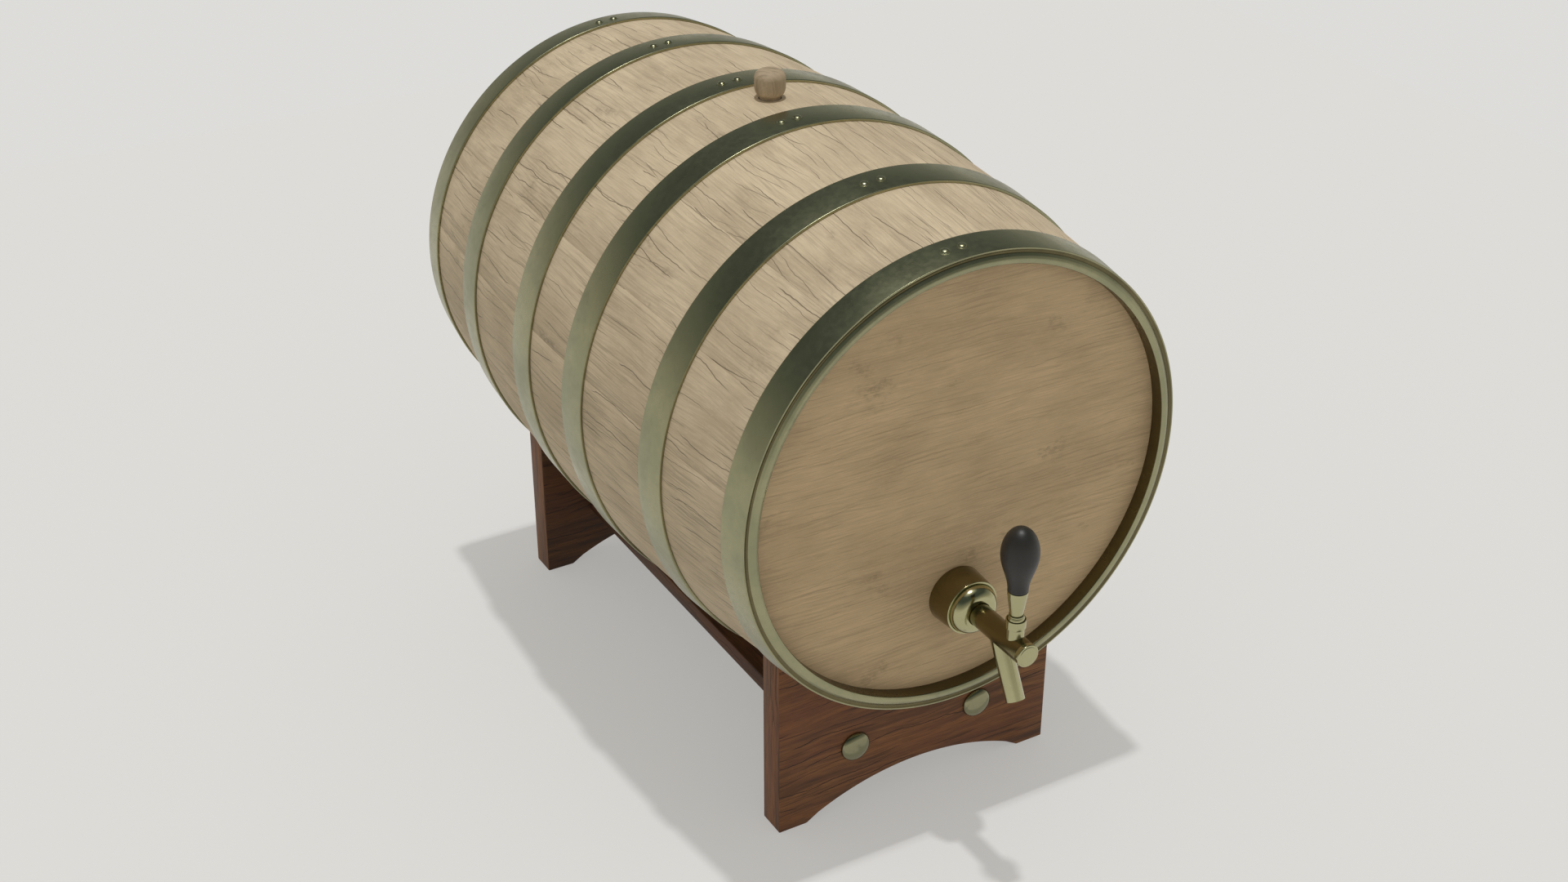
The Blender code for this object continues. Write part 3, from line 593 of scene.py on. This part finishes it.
def head_hoop_profile():
    """Band, groove, rolled bead, and the sleeve that turns in to the head."""
    outside = wood(LIP) + HOOP
    corners = [
        (wood(HEAD_HOOP) + 0.00004, HEAD_HOOP, 0.0002),
        (wood(HEAD_HOOP) + HOOP, HEAD_HOOP, 0.0005),
        (outside, LIP, 0.00025),
        (outside - 0.0008, LIP + 0.00005, 0.0003),
        (outside - 0.0026, LIP - 0.0008, 0.0013),
        (outside - 0.0046, LIP + 0.0009, 0.0016),
        (SLEEVE + 0.0026, 0.2258, 0.0028),
        (SLEEVE, 0.2248, 0.0009),
        (SLEEVE, HEAD_FACE + 0.00005, 0),
        (CHIME_INSIDE - 0.0001, HEAD_FACE + 0.00005, 0),
        (CHIME_INSIDE - 0.0001, END + PROUD, 0),
        (CHIME + 0.00005, END + PROUD, 0),
    ]
    return round_corners(corners, 8)


def rivet_shape():
    """A low dome inside a fine ring."""
    profile = [(0.0037, -0.0004), (0.0036, 0.00006), (0.0033, 0.00014), (0.0030, 0.00012), (0.0028, 0.00004)]
    profile += [(0.0027, 0.00008)]
    profile += arc((0, 0.0001), 0.0026, 0.00125, 6, 83, 11)
    return turned([*profile, (0, 0.00135)], 48)


def in_shade(face):
    """Whether a face of a hoop is turned to the barrel's axis, or lies in the lip's groove: these get the
    darker brass, painted dark reflection on the faces turned in and painted shade in the groove.
    """
    x = face.center.x
    z = face.center.z - AXIS
    radius = math.hypot(x, z)
    outwards = (face.normal.x * x + face.normal.z * z) / radius
    depth = wood(LIP) + HOOP - radius
    return outwards < -0.7 or abs(face.center.y - MIDDLE) > HEAD_FACE + 0.004 and 0.0013 < depth < 0.0034


def build_hoops():
    profiles = {}
    for end, side in (("front", -1), ("rear", 1)):
        for kind, (place, width) in (("quarter", QUARTER_HOOP), ("bilge", BILGE_HOOP)):
            profile = band_profile(place - width / 2, place + width / 2)
            profiles[f"{end}_{kind}_hoop"] = ([(r, side * h) for r, h in profile], side * place)
        profiles[f"{end}_head_hoop"] = ([(r, side * h) for r, h in head_hoop_profile()], side * HEAD_RIVETS)
    for node, (profile, place) in profiles.items():
        made = make(f"{node}_band", turned(profile, 288, closed=True), hoop_look, turned_barrel)
        # Inner faces and groove faces take the darker brass: painted dark reflection and painted shade.
        second_look(made, painted_shade_hoop_look, in_shade)
        smooth(made, 50)
        place_on(made, "barrel", "hoop_brass", node)
        build_rivets(node, place)


def build_rivets(hoop, place):
    surface = wood(place) + HOOP
    lean = math.atan(2 * (BILGE - CHIME) * place / END**2)
    for number, around in enumerate(RIVETS, 1):
        spot = Matrix.Rotation(around / surface, 4, "Y") @ Matrix.Translation((0, place, surface))
        spot = barrel @ spot @ Matrix.Rotation(-lean, 4, "X")
        dome = make(f"{hoop}_rivet_{number}_dome", rivet_shape(), hoop_look, spot)
        smooth(dome, 60)
        place_on(dome, "barrel", "hoop_brass", f"{hoop}_rivet_{number}")


def build_bung():
    base = BILGE
    height = bung_box[1].z - AXIS - base
    radius = 0.00975
    profile = [(0, -0.012), (0.0055, -0.012), (0.0059, -0.0116), (0.0066, 0.0002), (0.0068, 0.0012)]
    profile += arc((0.0064, 0.0076), radius - 0.0064, 0.0060, -72, 0, 8)
    profile += [(radius, 0.0100)]
    profile += arc((radius - 0.0048, height - 0.0050), 0.0048, 0.0047, 0, 76, 9)
    profile += [(0.0030, height - 0.0001), (0, height)]
    made = make("bung_turning", turned(profile, 96), bung_look, Matrix.Translation((0, BUNG_Y, AXIS + base)))
    smooth(made, 50)

    def upright(co, normal):
        across = 0.8 * co.x + 0.6 * (co.y - BUNG_Y) + 0.10 * (co.z - AXIS)
        return (0.5 * co.z, across, co.y)

    grain(made, upright)
    place_on(made, "bung", "bung_wood", "bung")


# ---------------------------------------------------------------- stand

OUTER = 0.1804  # from the barrel's middle to a board's outer face
INNER = 0.1608


def board_outline(place, steps=40):
    """(x, z) outline of a cradle board where the barrel is as wide as at this place."""
    half = 0.0994
    foot = 0.0796  # where a foot's flat ends
    start, start_height = 0.0711, 0.0052  # of the arch
    crown = 0.0207
    rise = crown - start_height
    arch_radius = (start**2 + rise**2) / (2 * rise)
    sweep = math.degrees(math.asin(start / arch_radius))
    arch = arc((0, crown - arch_radius), arch_radius, arch_radius, 90 + sweep, 90 - sweep, steps)
    radius = wood(place) + 0.00035
    side = math.degrees(math.asin(half / radius))
    cradle = arc((0, AXIS), radius, radius, side - 90, -side - 90, steps)
    return [(-half, 0), (-foot, 0), *arch, (foot, 0), (half, 0), *cradle]


def lofted(front, back, front_y, back_y):
    verts, faces = extruded(front, front_y, back_y)
    count = len(front)
    for k, (x, z) in enumerate(back):
        verts[count + k] = (x, back_y, z)
    return verts, faces


def board_grain(co, normal):
    if abs(normal.x) > 0.7:
        return (co.z, co.y, co.x)
    if abs(normal.z) > 0.7:
        return (co.x, co.y, co.z)
    return (co.x, co.z, co.y)


def bolt_shape():
    """A low dome on a plain shank."""
    radius = 0.0101
    shank = 0.0030
    profile = [(0, -0.030), (shank, -0.030), (shank, PROUD), (radius, PROUD)]
    profile += arc((0, 0.0004), radius, 0.0042, 0, 84, 14)
    return turned([*profile, (0, 0.0046)], 96)


def build_boards():
    for end, side in (("front", -1), ("rear", 1)):
        shape = lofted(board_outline(OUTER), board_outline(INNER), side * OUTER, side * INNER)
        made = make(f"{end}_board_wood", shape, stand_look, Matrix.Translation((0, MIDDLE, 0)))
        bevel(made, 0.0007, 24, 2)
        # The inner faces take the darker mahogany: painted shade.
        second_look(made, painted_shade_wood_look, lambda face, side=side: face.normal.y * side < -0.3)
        smooth(made, 40)
        grain(made, board_grain)
        place_on(made, "stand", "stand_wood", f"{end}_cradle_board")


def build_rails():
    for hand in ("left", "right"):
        low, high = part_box(f"{hand}_rail")
        outline = [(low.x, low.z), (high.x, low.z), (high.x, high.z), (low.x, high.z)]
        shape = extruded(outline, MIDDLE - INNER, MIDDLE + INNER)
        # The rails take the darker mahogany throughout: painted shade under the barrel.
        made = make(f"{hand}_rail_wood", shape, painted_shade_wood_look)
        bevel(made, 0.0008, 40, 3)
        smooth(made, 40)
        grain(made, lambda co, normal: (co.y, co.z if abs(normal.x) > 0.7 else co.x, co.z))
        place_on(made, "stand", "stand_wood", f"{hand}_rail")


def build_bolts():
    for end, side, turn in (("front", -1, FORWARDS), ("rear", 1, ALONG_Y)):
        for hand in ("left", "right"):
            low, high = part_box(f"{end}_{hand}_bolt")
            spot = Matrix.Translation(((low.x + high.x) / 2, MIDDLE + side * OUTER, (low.z + high.z) / 2))
            made = make(f"{end}_{hand}_bolt_dome", bolt_shape(), bolt_look, spot @ turn)
            smooth(made, 50)
            place_on(made, "stand", "bolt_brass", f"{end}_{hand}_bolt")


# ---------------------------------------------------------------- tap

# Places along the tap are measured forwards from the head's face
FACE = MIDDLE - HEAD_FACE
TAP_HEIGHT = (cap_box[0].z + cap_box[1].z) / 2
LEVER_Y = (bonnet_box[0].y + bonnet_box[1].y) / 2
PIVOT = TAP_HEIGHT + 0.0175
TUBE = 0.0072
TUBE_START = 0.0170
TUBE_END = 0.0705
SHANK = 0.009
SHANK_END = -0.0256
SHANK_BORE = 0.0027
SPOUT_PLACE = 0.0442
SPOUT_LENGTH = 0.0417
SPOUT_LEAN = math.radians(29)
GRIP_START = 0.0198  # above the pivot
GRIP_NECK = 0.0060
GRIP_WIDE = 0.01115
tap = Matrix.Translation((0, FACE, TAP_HEIGHT)) @ FORWARDS
pivot = Matrix.Translation((0, LEVER_Y, PIVOT))


def off_axis(place):
    """Distance of a place from the tube's axis."""
    return math.hypot(place.x, place.z - TAP_HEIGHT)


def build_bell():
    flange = [
        (SHANK_BORE, SHANK_END, 0),
        (SHANK, SHANK_END, 0.0004),
        (SHANK, PROUD, 0),
        (0.0185, PROUD, 0.0002),
        (0.0174, 0.018, 0.0004),
        (0.0162, 0.018, 0.0001),
        (0.0157, 0.0174, 0.0001),
    ]
    socket = TUBE + 0.00005
    profile = round_corners(flange, 4, closed=False)
    profile += arc((0.0085, 0.0178), 0.0073, 0.0077, 0, 86, 16)
    profile += [(0.0076, 0.0254), (socket, 0.0250), (socket, 0.0168), (SHANK_BORE, 0.0168)]
    made = make("tap_bell", turned(profile, 144, closed=True), tap_look, tap)
    # The bell's side faces take the darker brass: painted dark reflection.
    second_look(made, painted_shade_tap_look, lambda face: abs(face.normal.y) < 0.3 and off_axis(face.center) > 0.0165)
    smooth(made, 40)
    place_on(made, "barrel", "tap_brass", "tap_flange")


def build_casting():
    """The tube, with its spout and the neck under the lever."""
    made = make("tap_casting", rod(TUBE, TUBE_START, TUBE_END, 128), tap_look, tap)
    lean = Matrix.Translation((0, FACE - SPOUT_PLACE, TAP_HEIGHT)) @ Matrix.Rotation(-SPOUT_LEAN, 4, "X")
    spout = turned([(0, 0), (0.0060, 0), (0.00575, -SPOUT_LENGTH), (0, -SPOUT_LENGTH)], 96)
    cut(made, make("spout_tool", spout, tap_look, lean), "UNION")
    up = Matrix.Translation((0, LEVER_Y, TAP_HEIGHT))
    cut(made, make("neck_tool", rod(0.00515, 0, 0.0124), tap_look, up), "UNION")
    cut(made, make("mouth_tool", rod(0.0048, -0.03, -0.05, 64), tap_look, lean))
    bevel(made, 0.0003, 40, 3)

    def on_tube(face):
        return abs(off_axis(face.center) - TUBE) < 0.0002 and abs(face.normal.y) < 0.1

    # The tube's faces take the darker brass: painted dark reflection.
    second_look(made, painted_shade_tap_look, on_tube)
    smooth(made, 40)
    place_on(made, "barrel", "tap_brass", "tap_body")


def build_cap():
    start = TUBE_END + 0.00006
    cap = [
        (0, 0.069, 0),
        (0.0050, 0.069, 0),
        (0.0050, start, 0),
        (TUBE, start, 0.0001),
        (TUBE, 0.0737, 0.0005),
        (0.0060, 0.0737, 0.00015),
        (0.0058, 0.0740, 0.00015),
        (0, 0.0740, 0),
    ]
    made = make("tap_cap", turned(round_corners(cap, 4, closed=False), 128), tap_look, tap)
    smooth(made, 40)
    place_on(made, "barrel", "tap_brass", "tap_end_cap")


def build_collar():
    collar = [
        (0.0030, -0.0051, 0),
        (0.00595, -0.0051, 0.0003),
        (0.00595, 0.0006, 0.0003),
        (0.0055, 0.0006, 0.0001),
    ]
    profile = round_corners(collar, 4, closed=False) + arc((0, 0), 0.00545, 0.00545, 6, -55, 12)
    made = make("tap_collar", turned(profile, 96, closed=True), tap_look, pivot)
    smooth(made, 40)
    place_on(made, "barrel", "tap_brass", "tap_bonnet")


def build_lever():
    """The ball in the collar, the stud up into the grip and the finger down to the valve."""
    ball = 0.0051
    stud = 0.0025
    ring = [(0, -0.0049), (0.0015, -0.0049)]
    ring += arc((0, 0), ball, ball, -70, 30, 16)
    ring += [(0.0045, 0.0028), (0.0045, 0.0033), (0.0043, 0.0035)]
    ring += [(stud, 0.0035), (stud, 0.0285), (0, 0.0285)]
    made = make("lever_hub", turned(ring, 96), tap_look, pivot)
    finger = [(0, -0.019), (0.0012, -0.0186), (0.0016, -0.0175), (0.0012, -0.0164)]
    finger += [(0.0013, -0.003), (0, -0.003)]
    lean = pivot @ Matrix.Rotation(-0.25, 4, "X")
    cut(made, make("finger_tool", turned(finger, 32), tap_look, lean), "UNION")
    smooth(made, 40)
    place_on(made, "handle", "tap_brass", "tap_lever")


def build_ferrule():
    bore = 0.0028
    top = GRIP_START - 0.0002
    ferrule = [
        (bore, 0.0036, 0),
        (0.0039, 0.0036, 0.0002),
        (0.0042, 0.0060, 0.002),
        (0.0056, 0.0150, 0.003),
        (0.0061, top, 0.0002),
        (bore, top, 0),
    ]
    made = make("handle_sleeve", turned(round_corners(ferrule, 4), 96, closed=True), tap_look, pivot)
    smooth(made, 50)
    place_on(made, "handle", "tap_brass", "handle_ferrule")


def build_grip(steps=24):
    """A teardrop: a smooth swell from the neck up to the widest place, and a dome on it."""
    top = grip_box[1].z - PIVOT
    swell = 0.0245  # height of the widest place above the grip's start
    low = GRIP_START + 0.0002
    profile = [(0, 0.0290), (0.0028, 0.0290), (0.0028, GRIP_START), (0.0058, GRIP_START), (GRIP_NECK, low)]
    for k in range(1, steps):
        share = k / steps
        wider = (GRIP_WIDE - GRIP_NECK) * (1 - math.cos(math.pi * share)) / 2
        profile.append((GRIP_NECK + wider, low + (GRIP_START + swell - low) * share))
    profile += arc((0, GRIP_START + swell), GRIP_WIDE, top - GRIP_START - swell, 0, 87, 22) + [(0, top)]
    made = make("handle_knob", turned(profile, 96), grip_look, pivot)
    smooth(made, 50)
    place_on(made, "handle", "grip_black", "handle_grip")


# ---------------------------------------------------------------- everything

build_staves()
build_heads()
build_hoops()
build_bung()
build_boards()
build_rails()
build_bolts()
build_bell()
build_casting()
build_cap()
build_collar()
build_lever()
build_ferrule()
build_grip()

for node, look in (
    ("shank_gasket", rubber_look),
    ("shank_nut", tap_look),
    ("valve_shaft", tap_look),
    ("valve_washer", rubber_look),
):
    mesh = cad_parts[node].data
    mesh.materials.clear()
    mesh.materials.append(look)

# ---------------------------------------------------------------- floor, light and camera

FLOOR_SHARE = 0.52  # of the floor's brightness that comes from the lights
FLOOR_SIDE = 1.16
FLOOR_FRONT = 2.4
VIEW_TURN = math.radians(30)  # the camera looks from the front, round to the left and from above
VIEW_RISE = math.radians(30)
VIEW_PLACE = (-0.6197, -1.0583, 0.8847)

# What polished metal sees, from the horizon at 0 up to overhead at 1
ROOM = (
    (0.0, (0.64, 0.63, 0.59)),
    (0.03, (0.54, 0.52, 0.47)),
    (0.08, (0.43, 0.415, 0.355)),
    (0.16, (0.36, 0.36, 0.315)),
    (0.33, (0.22, 0.235, 0.215)),
    (0.52, (0.075, 0.092, 0.09)),
    (0.86, (0.075, 0.095, 0.10)),
    (0.96, (0.45, 0.45, 0.44)),
    (1.0, (0.9, 0.9, 0.86)),
)


def floor_material():
    """A backdrop lit from all round: what the camera and the metal see of it is darkened little by shadows."""
    look = Look("floor")
    look.finish(
        Base_Color=shade((0.80, 0.793, 0.775), FLOOR_SHARE),
        Roughness=1.0,
        Specular_IOR_Level=0.0,
        Emission_Color=(0.726, 0.719, 0.703, 1.0),
        Emission_Strength=1 - FLOOR_SHARE,
    )
    dull = look.node("ShaderNodeBsdfDiffuse", {"Color": (0.58, 0.575, 0.555, 1.0)})
    bounced = look.node("ShaderNodeLightPath").outputs["Is Diffuse Ray"]
    choices = {0: bounced, 1: look.shader.outputs[0], 2: dull.outputs[0]}
    which = look.node("ShaderNodeMixShader", choices)
    look.put(look.tree.nodes["Material Output"].inputs["Surface"], which.outputs[0])
    return look.material


def build_floor():
    corners = [
        (-FLOOR_SIDE, -FLOOR_FRONT, 0),
        (FLOOR_SIDE, -FLOOR_FRONT, 0),
        (FLOOR_SIDE, FLOOR_SIDE, 0),
        (-FLOOR_SIDE, FLOOR_SIDE, 0),
    ]
    mesh = bpy.data.meshes.new("floor")
    mesh.from_pydata(corners, [], [(0, 1, 2, 3)])
    mesh.materials.append(floor_material())
    floor = bpy.data.objects.new("floor", mesh)
    bpy.context.scene.collection.objects.link(floor)


def build_sun():
    """A light straight overhead, for the shadow's edge and the glints."""
    sun_data = bpy.data.lights.new("overhead", "SUN")
    sun_data.energy = 1.45
    sun_data.angle = math.radians(2.2)
    sun = bpy.data.objects.new("overhead", sun_data)
    bpy.context.scene.collection.objects.link(sun)


def build_room():
    """A plain backdrop for the camera, soft light for the wood and a shaded room for the metal."""
    world = bpy.data.worlds.new("studio")
    bpy.context.scene.world = world
    world.use_nodes = True
    tree = world.node_tree
    tree.nodes.clear()

    def background(colour):
        made = tree.nodes.new("ShaderNodeBackground")
        if isinstance(colour, tuple):
            made.inputs["Color"].default_value = (*colour, 1.0)
        else:
            tree.links.new(colour, made.inputs["Color"])
        return made.outputs[0]

    def either(share, first, second):
        made = tree.nodes.new("ShaderNodeMixShader")
        for socket, value in zip(made.inputs, (share, first, second)):
            tree.links.new(value, socket)
        return made.outputs[0]

    height = tree.nodes.new("ShaderNodeSeparateXYZ")
    tree.links.new(tree.nodes.new("ShaderNodeTexCoord").outputs["Generated"], height.inputs[0])
    room = tree.nodes.new("ShaderNodeValToRGB")
    tree.links.new(height.outputs["Z"], room.inputs[0])
    while len(room.color_ramp.elements) < len(ROOM):
        room.color_ramp.elements.new(0.5)
    for element, (place, colour) in zip(room.color_ramp.elements, ROOM):
        element.position = place
        element.color = (*colour, 1.0)

    path = tree.nodes.new("ShaderNodeLightPath")
    seen = background((0.723, 0.716, 0.698))
    soft = background((0.45, 0.437, 0.405))
    lit = either(path.outputs["Is Glossy Ray"], soft, background(room.outputs[0]))
    shown = either(path.outputs["Is Camera Ray"], lit, seen)
    output = tree.nodes.new("ShaderNodeOutputWorld")
    tree.links.new(shown, output.inputs[0])


def place_camera():
    camera_data = bpy.data.cameras.new("camera")
    camera_data.lens = 50
    camera_data.sensor_width = 36
    camera_data.clip_end = 20
    camera_data.shift_x = -0.00156
    camera_data.shift_y = 0.0013
    camera = bpy.data.objects.new("camera", camera_data)
    bpy.context.scene.collection.objects.link(camera)
    level = math.cos(VIEW_RISE)
    right = Vector((math.cos(VIEW_TURN), -math.sin(VIEW_TURN), 0))
    back = Vector((-math.sin(VIEW_TURN) * level, -math.cos(VIEW_TURN) * level, math.sin(VIEW_RISE)))
    turn = Matrix((right, back.cross(right), back)).transposed().to_4x4()
    camera.matrix_world = Matrix.Translation(VIEW_PLACE) @ turn
    bpy.context.scene.camera = camera


build_floor()
build_sun()
build_room()
place_camera()
bpy.context.scene.view_settings.view_transform = "Standard"
